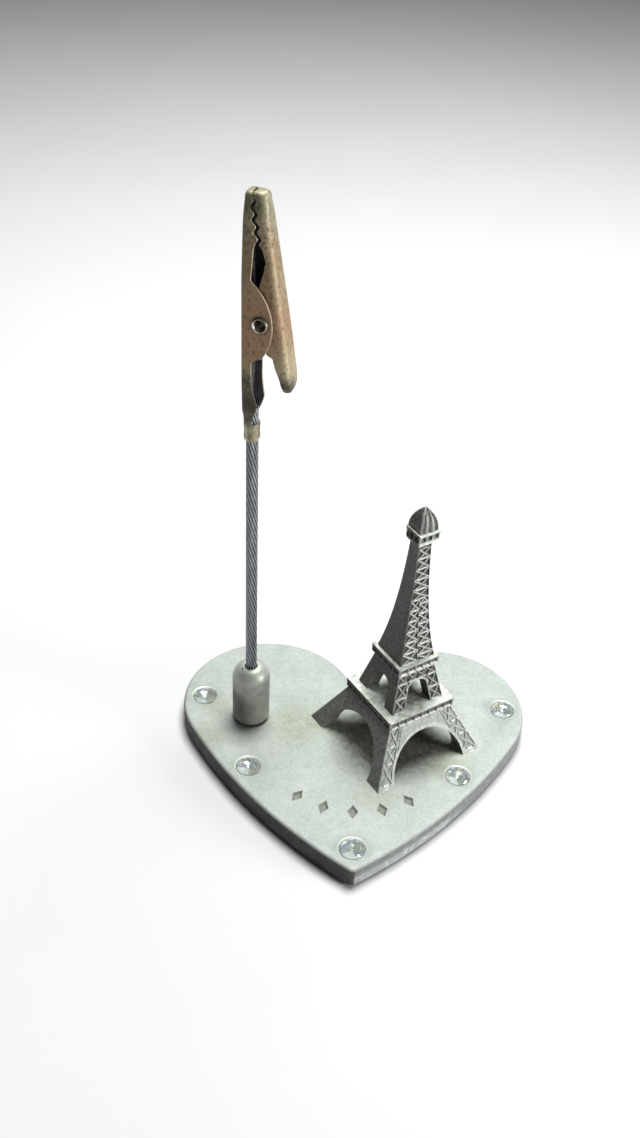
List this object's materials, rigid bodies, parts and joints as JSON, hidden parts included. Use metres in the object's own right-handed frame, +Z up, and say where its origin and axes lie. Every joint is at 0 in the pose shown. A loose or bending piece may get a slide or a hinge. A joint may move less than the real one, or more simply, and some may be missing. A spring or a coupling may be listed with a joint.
{
  "type": "place card holder",
  "caption": "Heart-shaped cast base with inset clear stones, a small lattice tower, and an upright wire rope stem that ends in a sprung, toothed card clip.",
  "frame": {"origin": "centre of the heart base's outline, on the underside of its pad", "axes": "+Z up along the stem, -Y towards the heart's tip and the viewer, +X to the viewer's right"},
  "size_m": [0.054, 0.0468, 0.0872],
  "materials": {
    "base_metal": "matt silver plating on cast zinc alloy, slightly tarnished",
    "pad_rubber": "matt foam rubber",
    "stone_glass": "clear, faceted",
    "tower_metal": "antiqued dark casting with bright worn edges",
    "socket_metal": "satin grey plating",
    "screw_steel": "zinc plated",
    "rope_steel": "bright drawn wire",
    "clip_metal": "tarnished",
    "rivet_metal": "dull",
    "spring_steel": "drawn wire"
  },
  "bodies": {
    "holder": {"base_plate": "base_metal", "base_pad": "pad_rubber", "stone_left_rear": "stone_glass", "stone_left_front": "stone_glass", "stone_tip": "stone_glass", "stone_right_front": "stone_glass", "stone_right_rear": "stone_glass", "tower": "tower_metal", "stem_socket": "socket_metal", "socket_screw": "screw_steel", "stem_rope": "rope_steel", "jaw_fixed": "clip_metal", "rivet": "rivet_metal", "clip_spring": "spring_steel"},
    "moving_jaw": {"jaw_moving": "clip_metal"}
  },
  "joints": [
    {"name": "jaw_hinge", "type": "hinge", "parent": "holder", "child": "moving_jaw", "pos_m": [-0.01446, 0.00552, 0.0714], "axis": [0.2756, 0.9613, 0], "range_deg": [0, 25], "stiffness_Nm_per_rad": 0.05, "springref_deg": -34.38, "deforming": ["clip_spring"]}
  ]
}
